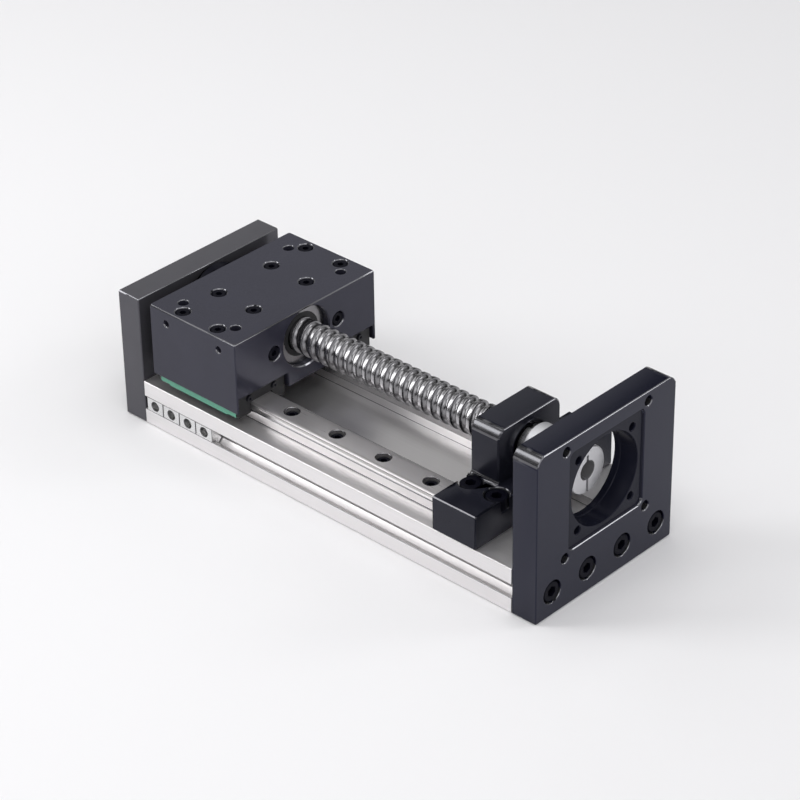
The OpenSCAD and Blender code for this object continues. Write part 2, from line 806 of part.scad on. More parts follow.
module runner_seals(y) {
    seal_w = runner_w - 2 * seal_inset;
    color("#26282b") difference() {
        for (s = [-1, 1]) slab_x(block_x + s * (runner_l - seal_t) / 2 - seal_t / 2, seal_t)
            translate([y - seal_w / 2, base_h + runner_lift + seal_inset / 2])
                cut_rect(seal_w, runner_h - runner_lift - 2 * seal_inset, cap_cut);
        slab_x(block_x - runner_l, 2 * runner_l) translate([y, base_h]) rail_passage(seal_play);
        at_seal_screws(y) rotate([0, -90, 0]) cylinder(h = seal_hole_l, r = seal_screw_r + thread_gap);
    }
}

module left_runner_seals() {
    runner_seals(-rail_y);
}

module right_runner_seals() {
    runner_seals(rail_y);
}

module seal_screws() {
    color("#b9bbbe") for (y = [-rail_y, rail_y]) at_seal_screws(y) rotate([0, 90, 0]) difference() {
        union() {
            translate([0, 0, -seal_screw_l]) cylinder(h = seal_screw_l + over / 2, r = seal_screw_r);
            cylinder(h = seal_head[1], r1 = seal_head[0], r2 = seal_head[0] - seal_head_edge);
        }
        translate([0, 0, seal_head[1] / 2]) cylinder(h = seal_head[1], r = seal_key_r, $fn = 6);
    }
}

module runner_balls(y) {
    pitch = runner_ball_d + ball_spread;
    count = floor((runner_steel_l - 2) / pitch);
    color("#e6e7e8") for (s = [-1, 1], i = [0:count - 1])
        translate([block_x + (i - (count - 1) / 2) * pitch, y + s * (rail_w / 2 + track_out), base_h + track_z])
            sphere(runner_ball_d / 2);
}

module left_runner_balls() {
    runner_balls(-rail_y);
}

module right_runner_balls() {
    runner_balls(rail_y);
}

// ---------- ball nut ----------

module flange_outline() {
    circle(nut_flange_d / 2);
    square([2 * nut_screw_y, 2 * nut_ear_r], center = true);
    for (s = [-1, 1]) translate([s * nut_screw_y, 0]) circle(nut_ear_r);
}

// Angle and place along X of each circuit's deflector
module at_deflectors() {
    for (c = [0:circuits - 1])
        translate([first_ball_x + (c * circuit_pitch + circuit_turns / 2) * screw_lead, 0, axis_z])
            rotate([180, 0, 0]) children();
}

module ball_nut() {
    color("#d2d4d6") difference() {
        union() {
            rod_x(nut_x0, nut_x1 - nut_x0, nut_d / 2, 0, axis_z);
            translate([0, 0, axis_z]) slab_x(nut_x0, nut_flange_t) flange_outline();
        }
        rod_x(nut_x0 - over, nut_x1 - nut_x0 + 2 * over, nut_bore_r, 0, axis_z);
        rod_x(chamber_x0, chamber_l, chamber_r, 0, axis_z);
        rod_x(nut_x0 - over, wiper_t + over, wiper_r, 0, axis_z);
        rod_x(nut_x1 - wiper_t, wiper_t + over, wiper_r, 0, axis_z);
        for (s = [-1, 1])
            rod_x(nut_x0 - over, nut_flange_t + 2 * over, M3[0] / 2 + thread_gap, s * nut_screw_y, axis_z);
        at_deflectors() rod_z(chamber_r - over, nut_d, deflector_r + seat_gap);
    }
}

module nut_screws() {
    color("#202226") for (s = [-1, 1])
        translate([block_x1 - m3_bore[1], s * nut_screw_y, axis_z]) rotate([0, 90, 0])
            socket_screw(M3, block_l - m3_bore[1] + nut_flange_t - end_clear);
}

module nut_wipers() {
    color("#3a3c40") for (x = [nut_x0, nut_x1 - wiper_t])
        turned(x) translate([land_r + seal_play, 0])
            square([wiper_r - land_r - seal_play - seat_gap, wiper_t]);
}

module nut_balls() {
    per_circuit = floor(circuit_turns * 360 / ball_step);
    color("#eceded") for (c = [0:circuits - 1], i = [0:per_circuit - 1]) {
        turn = c * circuit_pitch + i * ball_step / 360;
        translate([first_ball_x + turn * screw_lead, 0, axis_z])
            rotate([360 * (first_turn + turn), 0, 0]) translate([0, path_r, 0]) sphere(nut_ball_d / 2);
    }
}

module ball_deflectors() {
    inner_end = chamber_r + free_gap / 2;
    outer_end = sqrt(nut_d * nut_d / 4 - deflector_r * deflector_r) - free_gap;
    color("#9da0a4") at_deflectors() rod_z(inner_end, outer_end - inner_end, deflector_r);
}

// ---------- ball screw ----------

// Groove outline over one lead: [distance along X, radius], from land edge to land edge
groove_points = [for (k = [0:groove_steps])
    let (a = -90 + (2 * k / groove_steps - 1) * asin(groove_half / groove_r))
    [groove_half + groove_r * cos(a), k == 0 || k == groove_steps ? land_r : path_r + groove_r * sin(a)]];
profile_count = len(groove_points);

function on_helix(i, k) =
    let (a = 360 * i / helix_steps, p = groove_points[k])
    [helix_x0 + screw_lead * i / helix_steps + p[0], p[1] * cos(a), p[1] * sin(a)];
function on_ring(x, i) = [x, land_r * cos(360 * i / helix_steps), land_r * sin(360 * i / helix_steps)];

// Number of a helix point: line 0 runs one turn longer, because it also closes the lead before it
function helix_id(i, k) =
    k == 0 ? i
    : k == profile_count ? i + helix_steps
    : helix_count + helix_steps + 1 + (k - 1) * (helix_count + 1) + i;

// Rolled thread with a helical ball groove, closed by a plain ring at each end
module thread() {
    n = helix_steps;
    m = helix_count;
    last = profile_count - 1;
    start_id = helix_id(m, last) + 1;
    end_id = start_id + n;
    points = concat(
        [for (i = [0:m + n]) on_helix(i, 0)],
        [for (k = [1:last], i = [0:m]) on_helix(i, k)],
        [for (j = [0:n - 1]) on_ring(thread_x0, j)],
        [for (j = [0:n - 1]) on_ring(thread_x1, m + j)]
    );
    turns = [for (k = [0:last], i = [0:m - 1], t = [0, 1]) t == 0
        ? [helix_id(i, k), helix_id(i, k + 1), helix_id(i + 1, k + 1)]
        : [helix_id(i, k), helix_id(i + 1, k + 1), helix_id(i + 1, k)]];
    start_strip = [for (j = [0:n - 2], t = [0, 1]) t == 0
        ? [start_id + j, j, j + 1]
        : [start_id + j, j + 1, start_id + j + 1]];
    start_seam = [
        [n - 1, n, helix_id(0, last)], [n - 1, helix_id(0, last), 0],
        [start_id + n - 1, n - 1, 0], [start_id + n - 1, 0, start_id]
    ];
    end_strip = [for (j = [1:n - 1], t = [0, 1]) t == 0
        ? [m + j, end_id + j, end_id + (j + 1) % n]
        : [m + j, end_id + (j + 1) % n, m + j + 1]];
    end_seam = [
        [m, helix_id(m, last), m + 1], [helix_id(m, last), m + n, m + 1],
        [m + n, end_id, end_id + 1], [m + n, end_id + 1, m + 1]
    ];
    groove_ends = [for (k = [1:last - 1], t = [0, 1]) t == 0
        ? [0, helix_id(0, k + 1), helix_id(0, k)]
        : [m, helix_id(m, k), helix_id(m, k + 1)]];
    caps = [[for (j = [0:n - 1]) start_id + j], [for (j = [0:n - 1]) end_id + n - 1 - j]];
    polyhedron(points, concat(turns, start_strip, start_seam, end_strip, end_seam, groove_ends, caps));
}

module ball_screw() {
    inside = 1;
    clip_r = small_journal_d / 2 - clip_groove / 2;
    color("#cfd1d3") difference() {
        union() {
            translate([0, 0, axis_z]) thread();
            rod_x(base_x0, thread_end_gap + inside, float_radii[1], 0, axis_z);
            rod_x(journal_x0, base_x0 - journal_x0 + inside, small_journal_d / 2, 0, axis_z);
            rod_x(thread_x1 - inside, fixed_x0 - thread_x1 + inside, shoulder_d / 2, 0, axis_z);
            rod_x(fixed_x0 - inside, lock_x1 - fixed_x0 + inside, fixed_journal_d / 2, 0, axis_z);
            rod_x(lock_x1 - inside, hub_l + inside, small_journal_d / 2, 0, axis_z);
        }
        turned(float_x0 - clip_t) translate([clip_r, 0]) square([2, clip_t]);
    }
}

// ---------- coupling ----------

// Space between two neighbouring jaws of a hub: the other hub's jaw and the spider's two arms
module jaw_gap_outline() {
    far = 2 * coupling_r;
    arm = spider_arm_w + jaw_play;
    circle(spider_core_r + jaw_play);
    polygon([[0, 0], [far * cos(30), -far * sin(30)], [far, 0], [far * cos(30), far * sin(30)]]);
    for (a = [-30, 30]) rotate(a) translate([0, -arm / 2]) square([far, arm]);
}

// One clamp hub: x is its outer face and way is the side that its jaws are on
module clamp_hub(x, way, bore_r, first_jaw) {
    full_l = hub_l + hub_gap - jaw_play;
    translate([x, 0, axis_z]) mirror([way < 0 ? 1 : 0, 0, 0]) difference() {
        rotate([0, 90, 0]) rotate_extrude()
            polygon([[0, 0], [coupling_r - hub_edge, 0], [coupling_r, hub_edge], [coupling_r, full_l], [0, full_l]]);
        slab_x(hub_l, hub_gap) for (k = [0:2]) rotate(first_jaw + 60 + 120 * k) jaw_gap_outline();
        rod_x(-over, hub_l + 2 * over, bore_r);
        translate([-over, -slit_w / 2, -coupling_r - over])
            cube([hub_l - slit_stop + over, slit_w, coupling_r + over]);
        translate([-over, -slit_w / 2, 0]) cube([hub_l - slit_stop + over, slit_w, bore_r + slit_reach]);
        rod_y(-coupling_r, 2 * coupling_r, M25[0] / 2 + thread_gap, clamp_screw_x, -clamp_screw_z);
        rod_y(clamp_seat_y, coupling_r, M25[1] / 2 + free_gap, clamp_screw_x, -clamp_screw_z);
    }
}

module coupling_screw_hub() {
    color("#dcdee0") clamp_hub(coupling_x0, 1, small_journal_d / 2 + seat_gap, 0);
}

module coupling_motor_hub() {
    color("#dcdee0") clamp_hub(coupling_x1, -1, motor_bore_d / 2, 60);
}

module coupling_spider() {
    color("#b5382c") translate([0, 0, axis_z])
        slab_x(coupling_x0 + hub_l + jaw_play / 2, hub_gap - jaw_play) difference() {
            union() {
                circle(spider_core_r);
                for (k = [0:5]) rotate(30 + 60 * k) translate([0, -spider_arm_w / 2])
                    square([coupling_r - spider_inset, spider_arm_w]);
            }
            circle(2);
        }
}

module coupling_clamp_screws() {
    color("#202226") for (x = [coupling_x0 + clamp_screw_x, coupling_x1 - clamp_screw_x])
        translate([x, clamp_seat_y, axis_z - clamp_screw_z]) rotate([-90, 0, 0]) socket_screw(M25, 9);
}

// ---------- T-nuts ----------

module t_nut_outline() {
    neck = slot_open / 2 - free_gap / 2;
    half = slot_inner / 2 - free_gap;
    front = slot_lip + free_gap / 2;
    back = front + t_nut_back;
    cut = 2;
    polygon([
        [0, -neck], [front, -neck], [front, -half], [back - cut, -half], [back, -half + cut],
        [back, half - cut], [back - cut, half], [front, half], [front, neck], [0, neck]
    ]);
}

module t_nuts() {
    color("#d9dbdd") for (i = [0:t_nut_count - 1]) {
        x = base_x0 + t_nut_start + i * t_nut_pitch;
        difference() {
            slab_x(x, t_nut_l) translate([-base_w / 2, slot_z]) t_nut_outline();
            rod_y(-base_w / 2 - over, slot_depth + 2 * over, t_nut_d / 2, x + t_nut_l / 2, slot_z);
        }
    }
}

base_profile();
end_plate();
motor_plate();
end_plate_screws();
motor_plate_screws();
left_rail();
right_rail();
rail_screws();
bearing_block();
bearing_block_screws();
fixed_bearing_outer_rings();
fixed_bearing_balls();
fixed_bearing_inner_rings();
housing_circlip();
spacer_ring();
lock_nut();
floating_bearing_outer_ring();
floating_bearing_balls();
floating_bearing_inner_ring();
journal_circlip();
carriage_block();
carriage_screws();
left_runner_body();
right_runner_body();
left_runner_frame();
right_runner_frame();
left_runner_seals();
right_runner_seals();
seal_screws();
left_runner_balls();
right_runner_balls();
ball_nut();
nut_screws();
nut_wipers();
nut_balls();
ball_deflectors();
ball_screw();
coupling_screw_hub();
coupling_motor_hub();
coupling_spider();
coupling_clamp_screws();
t_nuts();
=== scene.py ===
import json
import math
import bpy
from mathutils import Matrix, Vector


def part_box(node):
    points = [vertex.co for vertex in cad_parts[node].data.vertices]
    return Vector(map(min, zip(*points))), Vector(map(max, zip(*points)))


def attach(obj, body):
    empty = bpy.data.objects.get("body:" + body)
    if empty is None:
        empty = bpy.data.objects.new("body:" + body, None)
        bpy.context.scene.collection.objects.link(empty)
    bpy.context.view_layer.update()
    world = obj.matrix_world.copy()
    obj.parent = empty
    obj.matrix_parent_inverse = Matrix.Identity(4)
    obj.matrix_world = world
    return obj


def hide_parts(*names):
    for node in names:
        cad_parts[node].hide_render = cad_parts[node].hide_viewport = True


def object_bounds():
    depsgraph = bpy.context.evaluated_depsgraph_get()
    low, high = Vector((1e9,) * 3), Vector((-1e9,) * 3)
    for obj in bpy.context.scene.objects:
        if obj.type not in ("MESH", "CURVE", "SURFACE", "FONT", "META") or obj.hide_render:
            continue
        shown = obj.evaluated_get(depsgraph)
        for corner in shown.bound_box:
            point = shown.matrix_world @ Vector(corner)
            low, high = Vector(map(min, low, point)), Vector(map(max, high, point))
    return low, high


bl_info = {
    "name": "Ball Screw Module Looks",
    "version": (1, 0, 0),
    "blender": (4, 5, 0),
    "location": "3D Viewport > Sidebar > Module",
    "description": "Finishes, detail pieces and studio for a ball screw linear module",
    "category": "Object",
}

import bmesh
import bpy
from bpy.props import FloatProperty, FloatVectorProperty, IntProperty, PointerProperty
from mathutils import Matrix, Vector

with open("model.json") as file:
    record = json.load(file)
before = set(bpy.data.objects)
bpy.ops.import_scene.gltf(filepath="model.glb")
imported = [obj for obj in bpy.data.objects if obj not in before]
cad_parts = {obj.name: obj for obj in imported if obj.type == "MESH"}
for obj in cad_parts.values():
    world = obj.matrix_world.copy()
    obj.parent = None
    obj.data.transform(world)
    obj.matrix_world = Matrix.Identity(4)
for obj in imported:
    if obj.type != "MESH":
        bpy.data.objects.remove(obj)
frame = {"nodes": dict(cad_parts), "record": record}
NODES = frame["nodes"]
SLOTS = {part["node"]: part["material_slot"] for part in frame["record"]["subparts"]}
CAD_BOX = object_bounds()
MM = 0.001
# how exactly a cut falls on its plane, and how close points are merged
FINE = 1e-7
WELD = 1e-6
# height of the screw's axis
AXIS_Z = sum(corner.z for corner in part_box("fixed_bearing_inner_rings")) / 2


# ---------- properties ----------


def colour(label, words, value):
    """A colour property with the usual picker."""
    return FloatVectorProperty(name=label, description=words, default=value,
                               subtype="COLOR", min=0, max=1)


def length(label, words, value):
    """A length property, in metres."""
    return FloatProperty(name=label, description=words, default=value,
                         subtype="DISTANCE", unit="LENGTH")


def factor(label, words, value):
    """A property between 0 and 1."""
    return FloatProperty(name=label, description=words, default=value,
                         subtype="FACTOR", min=0, max=1)


def angle(label, words, degrees):
    """An angle property, given in degrees."""
    return FloatProperty(name=label, description=words, default=math.radians(degrees),
                         subtype="ANGLE")


class ModuleFinishes(bpy.types.PropertyGroup):
    """Colours and roughness of every finish on the module"""

    # the black parts' colours are lit and shaded copies of one black anodising: painted light and
    # shade for how the lamps fall on each part
    end_plate: colour("End plate", "Colour of the end plate's anodising", (0.046, 0.045, 0.051))
    carriage_block: colour("Carriage block", "Colour of the carriage block's anodising",
                           (0.0215, 0.0215, 0.0330))
    motor_plate: colour("Motor plate", "Colour of the motor plate's anodising",
                        (0.0040, 0.0046, 0.0120))
    bearing_block: colour("Bearing block", "Colour of the bearing block's anodising",
                          (0.0105, 0.0110, 0.0170))
    # painted shade: a darker, duller black for pockets, bores and grooves
    recess: colour("Recesses", "Colour inside pockets, bores and grooves",
                   (0.00792, 0.00855, 0.01575))
    black_roughness: factor("Black roughness", "How matt the black anodising is", 0.23)
    # the edge colour is a painted highlight on the black parts' up-facing edges, partly also wear
    edge: colour("Burnished edge", "Colour of the black parts' worn edges", (0.20, 0.20, 0.215))
    silver: colour("Clear anodising", "Colour of the base profile", (0.86, 0.842, 0.845))
    silver_roughness: factor("Silver roughness", "How matt the clear anodising is", 0.38)
    rail: colour("Ground steel", "Colour of the rails", (0.68, 0.66, 0.665))
    rail_roughness: factor("Rail roughness", "How matt the ground steel is", 0.30)
    polished: colour("Polished steel", "Colour of the ball screw and nut", (0.235, 0.232, 0.24))
    polished_roughness: factor("Polish roughness", "How matt the polished steel is", 0.24)
    oxide: colour("Black oxide", "Colour of the screws", (0.0024, 0.0024, 0.0055))
    green: colour("Green plastic", "Colour of the runners' frames", (0.085, 0.31, 0.21))
    # the seal rubber also serves as painted shade on the runner frames' inner parts
    rubber: colour("Seal rubber", "Colour of the seals and wipers", (0.012, 0.012, 0.013))
    nickel: colour("Nickel plating", "Colour of the T-nuts", (0.78, 0.78, 0.78))
    coupling: colour("Coupling", "Colour of the coupling's hubs", (0.93, 0.93, 0.96))
    spider: colour("Coupling spider", "Colour of the rubber spider", (0.03, 0.03, 0.032))


class ScrewSizes(bpy.types.PropertyGroup):
    """Sizes of the rolled ball thread"""

    lead: length("Lead", "Advance of the thread in one turn", 5 * MM)
    land_radius: length("Land radius", "Radius of the thread's outer surface", 7.5 * MM)
    groove_radius: length("Groove radius", "Radius of the ball groove's section", 1.7175 * MM)
    path_radius: length("Ball path radius", "Radius of the helix of ball centres", 7.9 * MM)
    groove_start: length("First groove", "Where the groove crosses the +Y side", -96.13 * MM)
    edge: length("Land edge", "Rounding of the land's edges", 0.14 * MM)
    steps: IntProperty(name="Steps", description="Faces in one turn of the thread",
                       default=72, min=12, max=128)


class EdgeSizes(bpy.types.PropertyGroup):
    """Widths of the deburred edges"""

    plates: length("Plates", "Chamfer of the black plates", 0.35 * MM)
    housing: length("Housing", "Chamfer of the bearing block", 0.6 * MM)
    block: length("Carriage block", "Chamfer of the carriage block", 0.5 * MM)
    extrusion: length("Extrusion", "Rounding of the base's edges", 0.15 * MM)
    nut: length("Ball nut", "Rounding of the ball nut's edges", 0.3 * MM)
    hubs: length("Hubs", "Rounding of the coupling hubs and T-nuts", 0.2 * MM)
    rails: length("Rails", "Rounding of the rails' sharp edges and holes", 0.45 * MM)
    frames: length("Frames", "Rounding of the runners' plastic frames", 0.1 * MM)
    # the reach is how far in from the outer edges the painted edge highlight goes
    reach: length("Burnished width", "How far from the outer edges the black is worn", 0.5 * MM)


class StudioSettings(bpy.types.PropertyGroup):
    """Camera and floor"""

    azimuth: angle("Azimuth", "Camera turn about Z", 43.4595)
    elevation: angle("Elevation", "Camera height above the horizon", 32.127)
    roll: angle("Roll", "Camera roll about its own axis", -0.9748)
    location: FloatVectorProperty(name="Camera place", description="Where the camera stands",
                                  default=(0.68831, -0.71940, 0.65883),
                                  subtype="TRANSLATION", unit="LENGTH")
    lens: FloatProperty(name="Lens", description="Focal length for a 36 mm sensor",
                        default=133.55, unit="CAMERA")
    floor: colour("Floor", "Colour of the floor", (0.86, 0.855, 0.865))


# ---------- materials ----------


# how a pattern is stretched: not at all, into lines along X, or into rings about X
EVEN = (1, 1, 1)
ALONG_X = (0.01, 1, 1)
FINE_RINGS = (1, 0.05, 0.05)
RINGS = (1, 0.1, 0.1)
# depth of the relief on metal, and on plastic and rubber
METAL_RELIEF = 0.02 * MM
SKIN_RELIEF = 0.03 * MM

# each black part has its own shade of black, gloss and sheen tint: lit and shaded copies of one
# anodising, painted light and shade for how the lamps fall on each part; node, gloss, tint of its
# sheen
BLACK_SHADED_COPIES = (
    ("end_plate", 0.57, (0.88, 0.87, 1.0)),
    ("carriage_block", 0.37, (0.82, 0.82, 1.0)),
    ("motor_plate", 0.42, (0.74, 0.75, 1.0)),
    ("bearing_block", 0.24, (0.80, 0.81, 1.0)),
)
# sheen tint of the painted shade in recesses
RECESS_SHADE_SHEEN = (0.88, 0.87, 1.0)


def new_material(name):
    """A node material of the module's own, with its tree and its principled shader."""
    material = bpy.data.materials.new("finish_" + name)
    material.use_nodes = True
    tree = material.node_tree
    shader = next(n for n in tree.nodes if n.type == "BSDF_PRINCIPLED")
    return material, tree, shader


def finish(name):
    """One of the module's own finishes, by name."""
    return bpy.data.materials["finish_" + name]


def noise(tree, scale, detail, stretch=EVEN, roughness=0.5):
    """Noise on the part's own coordinates, stretched by the three scales."""
    where = tree.nodes.new("ShaderNodeTexCoord")
    mapping = tree.nodes.new("ShaderNodeMapping")
    mapping.inputs["Scale"].default_value = stretch
    tree.links.new(where.outputs["Object"], mapping.inputs["Vector"])
    texture = tree.nodes.new("ShaderNodeTexNoise")
    texture.inputs["Scale"].default_value = scale
    texture.inputs["Detail"].default_value = detail
    texture.inputs["Roughness"].default_value = roughness
    tree.links.new(mapping.outputs["Vector"], texture.inputs["Vector"])
    return texture.outputs["Fac"]


def ramp(tree, value, low, high):
    """The value spread from low to high."""
    node = tree.nodes.new("ShaderNodeMapRange")
    node.inputs["To Min"].default_value = low
    node.inputs["To Max"].default_value = high
    tree.links.new(value, node.inputs["Value"])
    return node.outputs["Result"]


def tint(tree, value, colour_a, colour_b):
    """A colour between two, by the value."""
    node = tree.nodes.new("ShaderNodeMix")
    node.data_type = "RGBA"
    node.inputs["A"].default_value = (*colour_a, 1)
    node.inputs["B"].default_value = (*colour_b, 1)
    tree.links.new(value, node.inputs["Factor"])
    return node.outputs["Result"]


def shade(value, gain):
    """A colour made lighter or darker."""
    return tuple(min(1.0, c * gain) for c in value)


def vary_colour(tree, shader, value, base, low, high):
    """Lets the shader's colour wander between two shades of the base, by the value."""
    mixed = tint(tree, value, shade(base, low), shade(base, high))
    tree.links.new(mixed, shader.inputs["Base Color"])


def vary_roughness(tree, shader, value, low, high):
    """Lets the shader's roughness wander from low to high, by the value."""
    tree.links.new(ramp(tree, value, low, high), shader.inputs["Roughness"])


def bump(tree, shader, value, strength, depth):
    """Gives the shader a relief from the value."""
    node = tree.nodes.new("ShaderNodeBump")
    node.inputs["Strength"].default_value = strength
    node.inputs["Distance"].default_value = depth
    tree.links.new(value, node.inputs["Height"])
    tree.links.new(node.outputs["Normal"], shader.inputs["Normal"])


def black_anodised(finishes, name, base, gloss, sheen):
    """Fine-blasted aluminium with a black oxide layer: dark, with a soft bluish sheen."""
    material, tree, shader = new_material(name)
    shader.inputs["Specular IOR Level"].default_value = gloss
    shader.inputs["Specular Tint"].default_value = (*sheen, 1)
    fine = noise(tree, scale=9000, detail=2)
    cloud = noise(tree, scale=60, detail=3)
    vary_colour(tree, shader, cloud, base, 0.8, 1.2)
    rough = finishes.black_roughness
    vary_roughness(tree, shader, cloud, rough * 0.9, rough * 1.12)
    bump(tree, shader, fine, 0.12, METAL_RELIEF)
    return material


def burnished_edge(finishes, name, gain, rough):
    """Edges of the black parts in a lighter, more metallic finish: a painted highlight, partly also
    wear.
    """
    material, tree, shader = new_material(name)
    shader.inputs["Metallic"].default_value = 0.75
    wear = noise(tree, scale=150, detail=3)
    vary_colour(tree, shader, wear, finishes.edge, 0.85 * gain, 1.15 * gain)
    vary_roughness(tree, shader, wear, 0.9 * rough, 1.2 * rough)
    return material


def brushed_metal(name, base, roughness, lines, stretch=ALONG_X, metallic=1.0):
    """Metal with fine lines along the axis where stretch is smallest."""
    material, tree, shader = new_material(name)
    shader.inputs["Metallic"].default_value = metallic
    streaks = noise(tree, scale=2600, detail=4, stretch=stretch, roughness=0.6)
    cloud = noise(tree, scale=45, detail=3)
    vary_colour(tree, shader, streaks, base, 0.93, 1.05)
    mixed = tree.nodes.new("ShaderNodeMath")
    mixed.operation = "ADD"
    tree.links.new(ramp(tree, streaks, roughness * 0.8, roughness * 1.15), mixed.inputs[0])
    tree.links.new(ramp(tree, cloud, -0.02, 0.03), mixed.inputs[1])
    tree.links.new(mixed.outputs["Value"], shader.inputs["Roughness"])
    bump(tree, shader, streaks, lines, METAL_RELIEF)
    return material


def clear_anodised(finishes):
    """Extruded aluminium with die lines along its length, matt and pale."""
    return brushed_metal("clear_anodised", finishes.silver, finishes.silver_roughness,
                         lines=0.25, metallic=0.92)


def ground_steel(finishes):
    """Ground rail steel with fine lines along the rail."""
    return brushed_metal("ground_steel", finishes.rail, finishes.rail_roughness,
                         lines=0.2, metallic=0.85)


def polished_steel(finishes):
    """Rolled and polished steel with faint rings round the screw."""
    material, tree, shader = new_material("polished_steel")
    shader.inputs["Metallic"].default_value = 1.0
    rings = noise(tree, scale=1800, detail=3, stretch=FINE_RINGS)
    cloud = noise(tree, scale=180, detail=3)
    vary_colour(tree, shader, cloud, finishes.polished, 0.94, 1.04)
    rough = finishes.polished_roughness
    vary_roughness(tree, shader, rings, rough * 0.75, rough * 1.3)
    return material


def black_oxide(finishes, name, gloss):
    """Blackened screw steel, dry or a little oily."""
    material, tree, shader = new_material(name)
    shader.inputs["Specular IOR Level"].default_value = gloss
    cloud = noise(tree, scale=900, detail=3)
    vary_colour(tree, shader, cloud, finishes.oxide, 0.7, 1.8)
    vary_roughness(tree, shader, cloud, 0.34, 0.48)
    return material


def green_plastic(finishes):
    """Moulded green plastic with a fine skin."""
    material, tree, shader = new_material("green_plastic")
    skin = noise(tree, scale=2500, detail=2)
    vary_colour(tree, shader, skin, finishes.green, 0.9, 1.1)
    vary_roughness(tree, shader, skin, 0.32, 0.42)
    bump(tree, shader, skin, 0.08, SKIN_RELIEF)
    return material


def matt_rubber(name, base):
    """Matt rubber with a fine grain."""
    material, tree, shader = new_material(name)
    grain = noise(tree, scale=3500, detail=2)
    vary_colour(tree, shader, grain, base, 0.85, 1.2)
    vary_roughness(tree, shader, grain, 0.5, 0.65)
    bump(tree, shader, grain, 0.15, SKIN_RELIEF)
    return material


def turned_metal(name, base, roughness, metallic=1.0):
    """Turned metal with fine rings about an axis along X."""
    material, tree, shader = new_material(name)
    shader.inputs["Metallic"].default_value = metallic
    rings = noise(tree, scale=3000, detail=3, stretch=RINGS)
    vary_colour(tree, shader, rings, base, 0.94, 1.03)
    vary_roughness(tree, shader, rings, roughness * 0.8, roughness * 1.2)
    bump(tree, shader, rings, 0.1, METAL_RELIEF)
    return material


def floor_material(settings):
    """Plain pale paper."""
    material, tree, shader = new_material("floor_paper")
    cloud = noise(tree, scale=3, detail=2)
    vary_colour(tree, shader, cloud, settings.floor, 0.99, 1.0)
    shader.inputs["Roughness"].default_value = 0.6
    shader.inputs["Specular IOR Level"].default_value = 0.25
    return material


def coat(name, material):
    """Gives a CAD node the material, and no other."""
    materials = NODES[name].data.materials
    materials.clear()
    materials.append(material)


def coat_slot(slot, material):
    """Gives the material to every node whose slot in the record is this one."""
    for name, used in SLOTS.items():
        if used == slot:
            coat(name, material)


# ---------- modelling helpers ----------


# edges sharper than this are bevelled, by one flat chamfer or by a round of three faces
SHARP = math.radians(60)
CHAMFERED, ROUNDED = 1, 3
# faces round a turned piece, and of the circle that the ball groove's arc is cut from
TURNED_FACES = 96
GROOVE_FACES = 56


def from_axis(point):
    """A point's distance from the screw's axis."""
    return math.hypot(point.y, point.z - AXIS_Z)


def deselect():
    """Leaves edit mode and selects nothing."""
    if bpy.context.object and bpy.context.object.mode != "OBJECT":
        bpy.ops.object.mode_set(mode="OBJECT")
    bpy.ops.object.select_all(action="DESELECT")


def take(obj):
    """Makes obj the active object and the only selected one."""
    deselect()
    bpy.context.view_layer.objects.active = obj
    obj.select_set(True)


def edit(obj):
    """Opens obj in edit mode with nothing selected."""
    take(obj)
    bpy.ops.object.mode_set(mode="EDIT")
    bpy.ops.mesh.select_mode(type="VERT")
    bpy.ops.mesh.select_all(action="DESELECT")


def pick_vertices(obj, test):
    """Selects the vertices that pass the test, in edit mode."""
    mesh = bmesh.from_edit_mesh(obj.data)
    mesh.select_mode = {"VERT"}
    for vertex in mesh.verts:
        vertex.select_set(test(vertex.co))
    mesh.select_flush(True)
    bmesh.update_edit_mesh(obj.data)


def apply_modifiers(obj):
    """Applies every modifier, in order."""
    take(obj)
    for modifier in list(obj.modifiers):
        bpy.ops.object.modifier_apply(modifier=modifier.name)


def settle(obj):
    """Puts obj's place into its mesh."""
    take(obj)
    bpy.ops.object.transform_apply(location=True, rotation=True, scale=True)


def close_up():
    """Merges the doubles of the mesh in edit mode, turns its faces outwards and leaves it."""
    bpy.ops.mesh.select_all(action="SELECT")
    bpy.ops.mesh.remove_doubles(threshold=WELD)
    bpy.ops.mesh.normals_make_consistent(inside=False)
    bpy.ops.object.mode_set(mode="OBJECT")


def bevel_edges(obj, width, segments=2, clamp=True, material=-1):
    """Bevels the sharp edges; with material -1 the bevel has the finish of the faces beside it."""
    bevel = obj.modifiers.new("bevel", "BEVEL")
    bevel.width = width
    bevel.segments = segments
    bevel.limit_method = "ANGLE"
    bevel.angle_limit = SHARP
    bevel.use_clamp_overlap = clamp
    bevel.material = material
    apply_modifiers(obj)


def smooth(obj, degrees):
    """Smooth shading, apart from edges sharper than the angle."""
    take(obj)
    bpy.ops.object.shade_smooth_by_angle(angle=math.radians(degrees))


def rod(name, x0, x1, radius, rim):
    """A cylinder along X on the screw's axis, with chamfered rims."""
    deselect()
    bpy.ops.mesh.primitive_cylinder_add(vertices=TURNED_FACES, radius=radius, depth=x1 - x0,
                                        location=((x0 + x1) / 2, 0, AXIS_Z),
                                        rotation=(0, math.pi / 2, 0))
    obj = bpy.context.object
    obj.name = name
    settle(obj)
    bevel_edges(obj, rim)
    return obj


